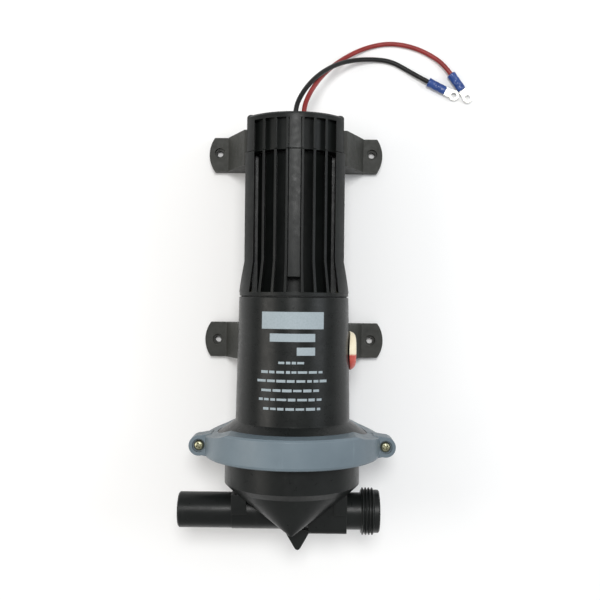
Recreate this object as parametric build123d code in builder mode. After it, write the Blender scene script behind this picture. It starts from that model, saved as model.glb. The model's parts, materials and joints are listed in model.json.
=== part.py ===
"""Electric inline diaphragm bilge pump, lying on its mounting feet.

X runs across the pump, Y runs up the pump axis towards the motor cap and Z stands off the mounting plane.
The origin is the centre of the mounting-hole pattern, on the plane that the feet rest on.
Sizes are millimetres.
"""
from build123d import *
import math
import os

os.makedirs("parts", exist_ok=True)

# ---- driving dimensions -------------------------------------------------------------------------
AXIS_HEIGHT = 66.0  # pump axis over the mounting plane
PARTING = 0.25  # usual gap between separate mouldings

# stations down the pump axis (Y)
CAP_TOP = 86.0
CAP_BOTTOM = 61.0
MOTOR_TOP = 60.5
FLARE_TOP = -15.0
FLARE_BOTTOM = -36.5
MOTOR_BOTTOM = -39.0
GEAR_TOP = -39.6
SKIRT_TOP = -127.8
FLANGE_BOTTOM = -140.5
BEAD_BOTTOM = -144.0
HEAD_TOP = -144.1
RING_BOTTOM = -153.3
HEAD_SHOULDER = -172.0
HEAD_BASE = -176.5
PORT_AXIS = -193.0
KEEL_TIP = -203.7

# finned motor section
MOTOR_HALF = 34.8
CAP_HALF = 33.8
CAP_R = 38.7
CAP_GROOVE_R = 34.6  # floor of the cap's shallow grooves
CORE_R = 27.5
MOTOR_BORE_R = 25.2
RIB_PITCH = 8.0
FIRST_RIB = 5.4
RIB_WIDTH = 1.6
PANEL_HALF = 4.0
BAR_INNER = 28.2
FLARE_SCALE = 1.1
TIE_X = 31.2  # long screws through the side bars

# gear housing, clamp ring and head
GEAR_R_TOP = 39.2  # also the round front and back of the motor housing
GEAR_R_BOTTOM = 40.9
FLANGE_R = 56.0
FLANGE_SLOPE = 0.709
RING_R = 62.5
RING_BORE_R = 56.4
RING_LIP_R = 49.0
HEAD_R = 48.2
HEAD_BASE_R = 43.5
KEEL_HALF_LENGTH = 30.0
MANIFOLD_R = 13.0
EAR_X = 66.4
EAR_Y = -145.8
EAR_R = 7.2
EAR_DEPTH = 8.4
SPLIT_GAP = 0.4

# ports
SPIGOT_R = 12.6
SPIGOT_END = -81.0
SOCKET_LEFT = -42.5
SOCKET_RIGHT = 39.0
PLUG_R = 11.0
PORT_BORE_R = 9.5
THREAD_R = 16.62
THREAD_PITCH = 2.309
THREAD_START = 49.5
THREAD_END = 61.0
NECK_R = 13.1
LIP_END = 62.6

# mounting feet
FOOT_THICKNESS = 8.0
HOLE_R = 2.45
COUNTERBORE_R = 4.1
HOLE_X = 59.8
HOLE_Y = 73.1
UPPER_FOOT_Y = 72.0
UPPER_FOOT_HALF = 13.2
UPPER_REACH = 68.0
UPPER_TAPER = 2.9
LOWER_FOOT_HALF = 13.5
LOWER_REACH = 69.8

# gear train: module 1, crank gear 48, layshaft pinion 24, worm wheel 24, worm with two starts
CRANK_Y = -98.0
WORM_OFFSET = 17.0
GEAR_TEETH = 48
PINION_TEETH = 24
SHAFT_SPACING = (GEAR_TEETH + PINION_TEETH) / 2
LAYSHAFT_Y = CRANK_Y + math.sqrt(SHAFT_SPACING**2 - WORM_OFFSET**2)
LAYSHAFT_Z = AXIS_HEIGHT - WORM_OFFSET
FRAME_TOP = GEAR_TOP - 4.4
FRAME_SCREWS = [(-8.3, -19.5), (16.5, -19.5), (-8.3, 11.8), (16.5, 11.8)]
CHEEKS = [(-14.0, -11.0), (19.5, 22.5)]
WORM_R = 5.0
WORM_STARTS = 2
WORM_LENGTH = 20.0
WHEEL_FACE = 5.0
THROW = 5.0
ECCENTRIC_R = 9.5
ROD_BORE_R = 11.5
DISC_Y = -136.0  # mid-plane of the diaphragm's centre at the top of the stroke

# leads
WIRE_R = 1.8
SLEEVE_R = 3.65
SLEEVE_LENGTH = 15.5
TONGUE_WIDTH = 6.6
EYE_R = 4.0
EYE_HOLE_R = 2.15
EYE_REACH = 7.5
EXIT_HEIGHT = 54.0
COLLAR_END = 91.0
BLACK_X = -0.5
RED_X = 5.6

PUMP_AXIS = Axis((0, 0, AXIS_HEIGHT), (0, 1, 0))
FRONT = Plane(origin=(0, 0, AXIS_HEIGHT), x_dir=(1, 0, 0), z_dir=(0, 0, 1))


def across(y):
    """Plane square to the pump axis: sketch x is X, sketch y is height over the axis, extrusion runs down."""
    return Plane(origin=(0, y, AXIS_HEIGHT), x_dir=(1, 0, 0), z_dir=(0, -1, 0))


def along_x(x, y=0.0, z=AXIS_HEIGHT):
    """Plane square to X: sketch x is Y, sketch y is Z, extrusion runs towards +X."""
    return Plane(origin=(x, y, z), x_dir=(0, 1, 0), z_dir=(1, 0, 0))


def save(name, piece):
    """Label one finished sub-part and write its STEP file."""
    piece.part.label = name
    export_step(piece.part, f"parts/{name}.step")


def turned(points, mode=Mode.ADD):
    """Add to the open part a body of revolution about the pump axis, from (radius, y) points."""
    with BuildSketch(FRONT) as profile:
        with BuildLine():
            Polyline(*points, close=True)
        make_face()
    revolve(profile.sketch, axis=PUMP_AXIS, mode=mode)


def flat_sided_disc(half, radius):
    """Sketch of a disc with its two sides cut flat."""
    Circle(radius)
    Rectangle(2 * half, 2 * radius, mode=Mode.INTERSECT)


def disc(y, radius, length, mode=Mode.ADD, x=0.0, w=0.0):
    """Add a cylinder parallel to the pump axis, from y downwards, w over the axis."""
    with BuildSketch(across(y)) as profile:
        with Locations((x, w)):
            Circle(radius)
    extrude(profile.sketch, amount=length, mode=mode)


def cross_disc(x, radius, length, y, z, mode=Mode.ADD):
    """Add a cylinder parallel to X, from x towards +X."""
    with BuildSketch(along_x(x, y, z)) as profile:
        Circle(radius)
    extrude(profile.sketch, amount=length, mode=mode)


def front_prism(points, low, high, mode=Mode.ADD):
    """Add a prism whose outline is seen from the front, between two heights over the axis."""
    with BuildSketch(FRONT.offset(low)) as profile:
        with BuildLine():
            Polyline(*points, close=True)
        make_face()
    extrude(profile.sketch, amount=high - low, mode=mode)


def block(x0, x1, y0, y1, z0, z1, mode=Mode.ADD):
    """Add a box given by its limits, heights being over the mounting plane."""
    with BuildSketch(Plane.XY.offset(z0)) as profile:
        with Locations(((x0 + x1) / 2, (y0 + y1) / 2)):
            Rectangle(x1 - x0, y1 - y0)
    extrude(profile.sketch, amount=z1 - z0, mode=mode)


def slot_limits():
    """Limits in x of the slots on the right-hand side: a fine groove, then three deep slots."""
    limits = [(PANEL_HALF, FIRST_RIB - RIB_WIDTH / 2)]
    for n in range(2):
        low = FIRST_RIB + n * RIB_PITCH + RIB_WIDTH / 2
        limits.append((low, low + RIB_PITCH - RIB_WIDTH))
    limits.append((FIRST_RIB + 2 * RIB_PITCH + RIB_WIDTH / 2, BAR_INNER))
    return limits


# ---- motor section ------------------------------------------------------------------------------
def motor_housing():
    """Round housing with flat sides that flare out at its foot, and deep slots that fan out with them."""
    with BuildPart() as housing:
        disc(MOTOR_TOP, GEAR_R_TOP, MOTOR_TOP - FLARE_BOTTOM)
        for side in (-1, 1):
            flat = [
                (side * MOTOR_HALF, MOTOR_TOP + 1),
                (side * 50, MOTOR_TOP + 1),
                (side * 50, FLARE_BOTTOM),
                (side * GEAR_R_TOP, FLARE_BOTTOM),
                (side * MOTOR_HALF, FLARE_TOP),
            ]
            front_prism(flat, -50, 50, Mode.SUBTRACT)
        for low, high in slot_limits():
            for side in (-1, 1):
                outline = [
                    (side * low, MOTOR_TOP),
                    (side * high, MOTOR_TOP),
                    (side * high, FLARE_TOP),
                    (side * high * FLARE_SCALE, FLARE_BOTTOM),
                    (side * low * FLARE_SCALE, FLARE_BOTTOM),
                    (side * low, FLARE_TOP),
                ]
                front_prism(outline, -50, 50, Mode.SUBTRACT)
        panel_foot = FLARE_TOP - 11
        block(-4.5, 4.5, FLARE_BOTTOM, panel_foot, 0, 2 * AXIS_HEIGHT, Mode.SUBTRACT)
        disc(MOTOR_TOP, CORE_R, MOTOR_TOP - FLARE_BOTTOM)
        block(-30, 30, FLARE_BOTTOM, MOTOR_TOP, AXIS_HEIGHT - 9, AXIS_HEIGHT + 9)
        disc(FLARE_BOTTOM, GEAR_R_TOP - 0.2, FLARE_BOTTOM - MOTOR_BOTTOM)
        disc(MOTOR_TOP, MOTOR_BORE_R, MOTOR_TOP - FLARE_BOTTOM, Mode.SUBTRACT)
        disc(FLARE_BOTTOM, 11.0, FLARE_BOTTOM - MOTOR_BOTTOM, Mode.SUBTRACT)
        for side in (-1, 1):
            disc(MOTOR_TOP, 1.65, MOTOR_TOP - MOTOR_BOTTOM, Mode.SUBTRACT, x=side * TIE_X)
    save("motor_housing", housing)


def motor_cap():
    """End cap: its shallow grooves carry the housing's slots on, below a plain top band."""
    band = 4.0
    with BuildPart() as cap:
        with BuildSketch(across(CAP_TOP)):
            flat_sided_disc(CAP_HALF, CAP_R)
        extrude(amount=CAP_TOP - CAP_BOTTOM)
        rim = cap.faces().sort_by(Axis.Y)[-1].edges()
        chamfer(rim, length=1.4)
        for low, high in slot_limits():
            for side in (-1, 1):
                limits = sorted((side * low, side * high))
                block(*limits, CAP_BOTTOM, CAP_TOP - band, 0, 2 * AXIS_HEIGHT, Mode.SUBTRACT)
        with BuildSketch(across(CAP_TOP - band)):
            flat_sided_disc(CAP_HALF - 1, CAP_GROOVE_R)
        extrude(amount=CAP_TOP - band - CAP_BOTTOM)
        pad_width = 5.9
        for side in (-1, 1):
            pad_x = side * (CAP_HALF - pad_width / 2)
            with BuildSketch(FRONT.offset(-19)):
                with Locations((pad_x, (CAP_TOP + CAP_BOTTOM + 1) / 2)):
                    RectangleRounded(pad_width, CAP_TOP - CAP_BOTTOM + 1, 2.4)
                with Locations((pad_x, CAP_BOTTOM)):
                    Rectangle(pad_width, 10, align=(Align.CENTER, Align.MIN))
            extrude(amount=38)
        dovetail(7.0, 10.0, CAP_TOP - 1, CAP_BOTTOM, 22.0, 34.0, Mode.ADD)
        disc(CAP_TOP - 3, CORE_R + 0.9, CAP_TOP - 3 - CAP_BOTTOM, Mode.SUBTRACT)
        with BuildSketch(across(CAP_TOP)):
            with Locations(((BLACK_X + RED_X) / 2, EXIT_HEIGHT - AXIS_HEIGHT)):
                SlotOverall(14.4, 7.4)
        extrude(amount=4, mode=Mode.SUBTRACT)
        for side in (-1, 1):
            disc(CAP_TOP + 1, 2.3, 6, Mode.SUBTRACT, x=side * TIE_X)
            disc(CAP_TOP + 1, 1.65, CAP_TOP + 1 - CAP_BOTTOM, Mode.SUBTRACT, x=side * TIE_X)
    save("motor_cap", cap)


def cap_gasket():
    """Flat ring gasket between cap and housing."""
    with BuildPart() as gasket:
        disc(CAP_BOTTOM, CORE_R - 0.3, CAP_BOTTOM - MOTOR_TOP)
        disc(CAP_BOTTOM, MOTOR_BORE_R + 0.3, CAP_BOTTOM - MOTOR_TOP, Mode.SUBTRACT)
    save("cap_gasket", gasket)


def cable_grommet():
    """Oblong grommet through the cap with one raised collar for each lead."""
    with BuildPart() as grommet:
        centre = ((BLACK_X + RED_X) / 2, EXIT_HEIGHT - AXIS_HEIGHT)
        with BuildSketch(across(CAP_TOP + 1.6)):
            with Locations(centre):
                SlotOverall(17.5, 10.5)
        extrude(amount=1.6)
        with BuildSketch(across(CAP_TOP)):
            with Locations(centre):
                SlotOverall(14.2, 7.2)
        extrude(amount=4.5)
        for x in (BLACK_X, RED_X):
            disc(COLLAR_END, WIRE_R + 0.9, COLLAR_END - CAP_TOP, x=x, w=EXIT_HEIGHT - AXIS_HEIGHT)
    save("cable_grommet", grommet)


def tie_screws():
    """Two long screws through the side bars, from the cap down into the gear housing."""
    foot = GEAR_TOP - 12
    with BuildPart() as screws:
        for side in (-1, 1):
            disc(CAP_TOP - 2.2, 2.2, 2.6, x=side * TIE_X)
            disc(CAP_TOP - 4.8, 1.45, CAP_TOP - 4.8 - foot, x=side * TIE_X)
    save("tie_screws", screws)


def motor_internals():
    """Permanent-magnet motor: can and end bell, magnets and brushes, bearings, and the turning armature."""
    can_bottom = FLARE_BOTTOM + 0.2
    with BuildPart() as can:
        turned([(23, 52), (25, 52), (25, can_bottom), (10.8, can_bottom), (10.8, -44.5), (5.0, -44.5),
                (5.0, can_bottom + 2), (23, can_bottom + 2)])
    save("motor_can", can)

    with BuildPart() as bell:
        turned([
            (0, 58), (9, 58), (9, 55), (25, 55), (25, 52), (8.5, 52), (8.5, 50), (5, 50), (5, 56), (0, 56),
        ])
    save("motor_end_bell", bell)

    with BuildPart() as magnets:
        for start in (20, 200):
            with BuildSketch(across(38)):
                with BuildLine():
                    outer = CenterArc((0, 0), 23, start, 140)
                    inner = CenterArc((0, 0), 19.2, start, 140)
                    Line(outer @ 0, inner @ 0)
                    Line(outer @ 1, inner @ 1)
                make_face()
            extrude(amount=48)
    save("magnets", magnets)

    with BuildPart() as bearings:
        disc(can_bottom + 2, 5.0, 10)
        disc(can_bottom + 2, 2.55, 10, Mode.SUBTRACT)
        disc(56, 5.0, 6)
        disc(56, 2.55, 6, Mode.SUBTRACT)
    save("motor_bearings", bearings)

    with BuildPart() as shaft:
        disc(55.5, 2.5, 55.5 - (LAYSHAFT_Y - 11))
    save("motor_shaft", shaft)

    with BuildPart() as armature:
        with BuildSketch(across(33)):
            Circle(18.6)
            Circle(2.5, mode=Mode.SUBTRACT)
            with PolarLocations(16.0, 8):
                Rectangle(6.0, 2.2, mode=Mode.SUBTRACT)
        extrude(amount=40)
    save("armature", armature)

    with BuildPart() as windings:
        for top in (39, -7.2):
            disc(top, 15.5, 5.8)
            disc(top, 2.5, 5.8, Mode.SUBTRACT)
    save("armature_windings", windings)

    with BuildPart() as commutator:
        disc(48, 7.5, 8.5)
        disc(48, 2.5, 8.5, Mode.SUBTRACT)
    save("commutator", commutator)

    with BuildPart() as brushes:
        for side in (-1, 1):
            limits = sorted((side * 7.9, side * 18))
            block(*limits, 41, 46.5, AXIS_HEIGHT - 3, AXIS_HEIGHT + 3)
    save("brushes", brushes)


# ---- gear housing and drive ---------------------------------------------------------------------
def gear_housing():
    """Tapered round housing that opens into the conical flange held by the clamp ring."""
    flange_edge = SKIRT_TOP - (FLANGE_R - GEAR_R_BOTTOM) * FLANGE_SLOPE
    with BuildPart() as housing:
        turned([
            (11.0, GEAR_TOP), (GEAR_R_TOP - 0.6, GEAR_TOP), (GEAR_R_TOP, GEAR_TOP - 0.6),
            (GEAR_R_BOTTOM, SKIRT_TOP), (FLANGE_R, flange_edge), (FLANGE_R, FLANGE_BOTTOM),
            (47.5, FLANGE_BOTTOM), (47.5, -137.5), (37.6, -127.5), (36.3, GEAR_TOP - 4.4),
            (11.0, GEAR_TOP - 4.4),
        ])
        for side in (-1, 1):
            disc(GEAR_TOP, 4.6, 13, x=side * TIE_X)
            disc(GEAR_TOP, 1.45, 12, Mode.SUBTRACT, x=side * TIE_X)
        for x, w in FRAME_SCREWS:
            disc(GEAR_TOP, 1.45, 5, Mode.SUBTRACT, x=x, w=w)
        dovetail(7.0, 10.0, -HOLE_Y + 13, -HOLE_Y - 13, 22.0, 30.0, Mode.ADD)
    save("gear_housing", housing)


def dovetail(root_half, tip_half, y_top, y_bottom, z_tip, z_root, mode):
    """Dovetail rail along the pump axis, wider at its tip, that a foot bracket slides on to."""
    with BuildSketch(Plane(origin=(0, y_top, 0), x_dir=(1, 0, 0), z_dir=(0, -1, 0))) as profile:
        with BuildLine():
            corners = [(-tip_half, z_tip), (tip_half, z_tip), (root_half, z_root), (-root_half, z_root)]
            Polyline(*corners, close=True)
        make_face()
    extrude(profile.sketch, amount=y_top - y_bottom, mode=mode)


def housing_gasket():
    """Flat gasket between motor housing and gear housing."""
    with BuildPart() as gasket:
        disc(MOTOR_BOTTOM, GEAR_R_TOP - 1.4, MOTOR_BOTTOM - GEAR_TOP)
        disc(MOTOR_BOTTOM, 11.0, MOTOR_BOTTOM - GEAR_TOP, Mode.SUBTRACT)
        for side in (-1, 1):
            disc(MOTOR_BOTTOM, 1.65, MOTOR_BOTTOM - GEAR_TOP, Mode.SUBTRACT, x=side * TIE_X)
    save("housing_gasket", gasket)


def gear_frame():
    """Bridge under the gear housing's roof, with two cheeks that hold the cross shafts."""
    with BuildPart() as frame:
        low, high = AXIS_HEIGHT - 26, AXIS_HEIGHT + 16
        block(CHEEKS[0][0], CHEEKS[1][1], FRAME_TOP - 3, FRAME_TOP, low, high)
        for x0, x1 in CHEEKS:
            block(x0, x1, CRANK_Y - 11, FRAME_TOP, low, AXIS_HEIGHT + 11)
            cross_disc(x0, 6.0, x1 - x0, CRANK_Y, AXIS_HEIGHT, Mode.SUBTRACT)
            cross_disc(x0, 4.5, x1 - x0, LAYSHAFT_Y, LAYSHAFT_Z, Mode.SUBTRACT)
        disc(FRAME_TOP, 11.2, 3, Mode.SUBTRACT)
        for x, w in FRAME_SCREWS:
            disc(FRAME_TOP, 1.65, 3, Mode.SUBTRACT, x=x, w=w)
    save("gear_frame", frame)

    with BuildPart() as screws:
        for x, w in FRAME_SCREWS:
            disc(FRAME_TOP - 3, 2.6, 2, x=x, w=w)
            disc(GEAR_TOP - 0.5, 1.45, GEAR_TOP - 0.5 - FRAME_TOP + 3, x=x, w=w)
    save("frame_screws", screws)

    with BuildPart() as bushes:
        for x0, x1 in CHEEKS:
            cross_disc(x0, 6.0, x1 - x0, CRANK_Y, AXIS_HEIGHT)
            cross_disc(x0, 4.05, x1 - x0, CRANK_Y, AXIS_HEIGHT, Mode.SUBTRACT)
            cross_disc(x0, 4.5, x1 - x0, LAYSHAFT_Y, LAYSHAFT_Z)
            cross_disc(x0, 3.05, x1 - x0, LAYSHAFT_Y, LAYSHAFT_Z, Mode.SUBTRACT)
    save("shaft_bushes", bushes)


def tooth_outline(teeth, phase):
    """Corners of a module 1 gear's outline, with a tooth centred at the phase angle."""
    pitch_r = teeth / 2
    root = (pitch_r - 1.25, 1.05)
    tip = (pitch_r + 1.0, 0.42)
    corners = []
    for n in range(teeth):
        centre = phase + n * 2 * math.pi / teeth
        for (radius, half), side in ((root, -1), (tip, -1), (tip, 1), (root, 1)):
            angle = centre + side * half / radius
            corners.append((radius * math.cos(angle), radius * math.sin(angle)))
    return corners


def toothed_disc(x, width, teeth, y, z, bore, phase, twist=0.0):
    """Gear of module 1 about an X axis; twist is the angle by which its teeth turn over the face width."""
    with BuildSketch(along_x(x, y, z)) as near:
        with BuildLine():
            Polyline(*tooth_outline(teeth, phase - twist / 2), close=True)
        make_face()
    with BuildSketch(along_x(x + width, y, z)) as far:
        with BuildLine():
            Polyline(*tooth_outline(teeth, phase + twist / 2), close=True)
        make_face()
    loft([near.sketch, far.sketch], ruled=True)
    cross_disc(x, bore, width, y, z, Mode.SUBTRACT)


def gear_train():
    """Worm on the motor shaft, worm wheel and pinion on the layshaft, and the gear on the crank axle."""
    to_layshaft = math.atan2(-WORM_OFFSET, LAYSHAFT_Y - CRANK_Y)
    half_tooth = math.pi / PINION_TEETH
    with BuildPart() as gear:
        toothed_disc(9.5, 7, GEAR_TEETH, CRANK_Y, AXIS_HEIGHT, 4.0, to_layshaft)
    save("crank_gear", gear)

    with BuildPart() as pinion:
        toothed_disc(9.0, 8, PINION_TEETH, LAYSHAFT_Y, LAYSHAFT_Z, 3.0, to_layshaft + math.pi + half_tooth)
    save("layshaft_pinion", pinion)

    with BuildPart() as wheel:
        slope = WORM_STARTS / (2 * WORM_R)
        twist = WHEEL_FACE * slope / (PINION_TEETH / 2)
        left = -WHEEL_FACE / 2
        toothed_disc(left, WHEEL_FACE, PINION_TEETH, LAYSHAFT_Y, LAYSHAFT_Z, 3.0, math.pi / 2, twist)
        cross_disc(-9.5, 6.5, 7, LAYSHAFT_Y, LAYSHAFT_Z)
        cross_disc(2.5, 6.5, 6.5, LAYSHAFT_Y, LAYSHAFT_Z)
        cross_disc(-9.5, 3.0, 18.5, LAYSHAFT_Y, LAYSHAFT_Z, Mode.SUBTRACT)
    save("worm_wheel", wheel)

    with BuildPart() as layshaft:
        cross_disc(-17, 3.0, 43, LAYSHAFT_Y, LAYSHAFT_Z)
    save("layshaft", layshaft)

    worm()


def worm():
    """Two-start right-hand worm, turned so that a gap between threads faces a tooth of the worm wheel."""
    lead = WORM_STARTS * math.pi
    root_r = WORM_R - 1.2
    bottom = LAYSHAFT_Y - WORM_LENGTH / 2
    first = bottom + 1
    foot = (0, first, AXIS_HEIGHT)
    with BuildPart() as screw:
        disc(bottom + WORM_LENGTH, root_r, WORM_LENGTH)
        with BuildLine():
            path = Helix(lead, WORM_LENGTH - 2, root_r - 0.3, center=foot, direction=(0, 1, 0))
        outward = (path @ 0) - Vector(*foot)
        with BuildSketch(Plane(path @ 0, x_dir=outward, z_dir=path % 0)):
            Trapezoid(2.2, 2.4, 73, rotation=-90, align=(Align.CENTER, Align.MIN))
        thread = sweep(path=path, is_frenet=True, mode=Mode.PRIVATE)
        start_angle = math.atan2(outward.X, outward.Z)
        thread_y = first + ((math.pi - start_angle) % (2 * math.pi)) * lead / (2 * math.pi)
        turn = (thread_y - LAYSHAFT_Y - math.pi / 2) * 360 / lead
        for n in range(WORM_STARTS):
            add(thread.rotate(PUMP_AXIS, turn + n * 360 / WORM_STARTS))
        disc(bottom + WORM_LENGTH, 2.5, WORM_LENGTH, Mode.SUBTRACT)
    save("worm", screw)


def crank_and_rod():
    """Crank axle, eccentric and bush, connecting rod, and the clamped plates of the diaphragm."""
    with BuildPart() as axle:
        cross_disc(-17, 4.0, 43, CRANK_Y, AXIS_HEIGHT)
    save("crank_axle", axle)

    with BuildPart() as eccentric:
        cross_disc(-6.5, ECCENTRIC_R, 13, CRANK_Y + THROW, AXIS_HEIGHT)
        cross_disc(-6.5, 4.0, 13, CRANK_Y, AXIS_HEIGHT, Mode.SUBTRACT)
    save("eccentric", eccentric)

    with BuildPart() as bush:
        cross_disc(-6, ROD_BORE_R, 12, CRANK_Y + THROW, AXIS_HEIGHT)
        cross_disc(-6, ECCENTRIC_R + 0.05, 12, CRANK_Y + THROW, AXIS_HEIGHT, Mode.SUBTRACT)
    save("rod_bush", bush)

    plate_top = DISC_Y + 4.9
    with BuildPart() as rod:
        cross_disc(-6, ROD_BORE_R + 3, 12, CRANK_Y + THROW, AXIS_HEIGHT)
        block(-5, 5, plate_top, CRANK_Y + THROW - 8, AXIS_HEIGHT - 5, AXIS_HEIGHT + 5)
        disc(plate_top + 4, 10, 4)
        cross_disc(-6, ROD_BORE_R, 12, CRANK_Y + THROW, AXIS_HEIGHT, Mode.SUBTRACT)
        disc(plate_top + 14, 2.5, 14, Mode.SUBTRACT)
    save("connecting_rod", rod)

    with BuildPart() as upper_plate:
        turned([(3, plate_top), (24, plate_top), (27, plate_top - 2), (27, DISC_Y + 0.9), (3, DISC_Y + 0.9)])
    save("upper_plate", upper_plate)

    with BuildPart() as lower_plate:
        turned([
            (3, DISC_Y - 0.9), (27, DISC_Y - 0.9), (27, DISC_Y - 2.5), (24, DISC_Y - 4.9), (3, DISC_Y - 4.9),
        ])
    save("lower_plate", lower_plate)

    with BuildPart() as screw:
        disc(DISC_Y - 4.9, 5.5, 3.2)
        disc(plate_top + 12, 2.5, plate_top + 12 - DISC_Y + 4.9)
        with BuildSketch(across(DISC_Y - 6.1)):
            RegularPolygon(2.5, 6)
        extrude(amount=2, mode=Mode.SUBTRACT)
    save("diaphragm_screw", screw)


def diaphragm():
    """Moulded rubber disc: clamped bead outside, flexible web, and a flat centre between the plates."""
    with BuildPart() as rubber:
        turned([
            (3, DISC_Y + 0.9), (28.5, DISC_Y + 0.9), (46.0, FLANGE_BOTTOM), (55.7, FLANGE_BOTTOM),
            (55.7, BEAD_BOTTOM), (49.5, BEAD_BOTTOM), (48.0, BEAD_BOTTOM + 1.6), (45.4, BEAD_BOTTOM + 1.6),
            (28.5, DISC_Y - 0.9), (3, DISC_Y - 0.9),
        ])
    save("diaphragm", rubber)


# ---- clamp ring ---------------------------------------------------------------------------------
def clamp_half(name, side):
    """Half of the two-piece ring, with conical inner faces, sloping shoulders and an ear at each end."""
    cone_top = SKIRT_TOP - (RING_LIP_R - GEAR_R_BOTTOM) * FLANGE_SLOPE + 0.3
    cone_edge = SKIRT_TOP - (RING_BORE_R - GEAR_R_BOTTOM) * FLANGE_SLOPE + 0.3
    low, high = sorted((side * SPLIT_GAP, side * 70.0))
    with BuildPart() as half:
        turned([
            (RING_LIP_R, cone_top), (RING_LIP_R, cone_top + 0.9), (RING_R - 1.2, -132.9), (RING_R, -134.2),
            (RING_R, RING_BOTTOM + 2.2), (RING_R - 0.7, RING_BOTTOM + 0.7), (RING_R - 2.2, RING_BOTTOM),
            (48.7, RING_BOTTOM), (48.7, -152.3), (RING_BORE_R, -147.4), (RING_BORE_R, cone_edge),
        ])
        for mirror_x in (-1, 1):
            shoulder = [(40, -131.6), (49.5, -135.4), (85, -144.3), (85, -120), (40, -120)]
            front_prism([(mirror_x * x, y) for x, y in shoulder], -70, 70, Mode.SUBTRACT)
        front_prism([(-90, -160), (90, -160), (90, -120), (-90, -120)], low, high, Mode.INTERSECT)
        for mirror_x in (-1, 1):
            ear_low, ear_high = sorted((side * SPLIT_GAP, side * EAR_DEPTH))
            ear = [(57.5, -137.0), (68.3, -139.0), (68.2, -152.0), (61.0, RING_BOTTOM), (57.5, RING_BOTTOM)]
            front_prism([(mirror_x * x, y) for x, y in ear], ear_low, ear_high)
            with BuildSketch(FRONT.offset(ear_low)):
                with Locations((mirror_x * EAR_X, EAR_Y)):
                    Circle(EAR_R)
            extrude(amount=ear_high - ear_low)
            with BuildSketch(FRONT.offset(ear_low)):
                with Locations((mirror_x * EAR_X, EAR_Y)):
                    Circle(2.15)
            extrude(amount=ear_high - ear_low, mode=Mode.SUBTRACT)
            if side > 0:
                with BuildSketch(FRONT.offset(EAR_DEPTH - 2.6)):
                    with Locations((mirror_x * EAR_X, EAR_Y)):
                        Circle(4.8)
                extrude(amount=2.6, mode=Mode.SUBTRACT)
            else:
                with BuildSketch(FRONT.offset(-EAR_DEPTH)):
                    with Locations((mirror_x * EAR_X, EAR_Y)):
                        RegularPolygon(4.15, 6)
                extrude(amount=3.4, mode=Mode.SUBTRACT)
    save(name, half)


def clamp_fasteners():
    """Cross-recessed pan-head screws from the front and the nuts in the rear half's pockets."""
    seat = EAR_DEPTH - 2.6
    with BuildPart() as screws:
        for side in (-1, 1):
            with BuildSketch(FRONT.offset(-EAR_DEPTH)):
                with Locations((side * EAR_X, EAR_Y)):
                    Circle(2.0)
            extrude(amount=EAR_DEPTH + seat)
            with BuildSketch(FRONT.offset(seat)):
                with Locations((side * EAR_X, EAR_Y)):
                    Circle(3.75)
            head = extrude(amount=2.3)
            fillet(head.edges().group_by(Axis.Z)[-1], radius=1.0)
            with BuildSketch(FRONT.offset(seat + 0.9)):
                with Locations((side * EAR_X, EAR_Y)):
                    Rectangle(4.2, 0.95)
                    Rectangle(0.95, 4.2)
            extrude(amount=2, mode=Mode.SUBTRACT)
    save("clamp_screws", screws)

    with BuildPart() as nuts:
        for side in (-1, 1):
            with BuildSketch(FRONT.offset(-EAR_DEPTH + 0.2)):
                with Locations((side * EAR_X, EAR_Y)):
                    RegularPolygon(4.0, 6)
                    Circle(2.0, mode=Mode.SUBTRACT)
            extrude(amount=3.2)
    save("clamp_nuts", nuts)


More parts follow.
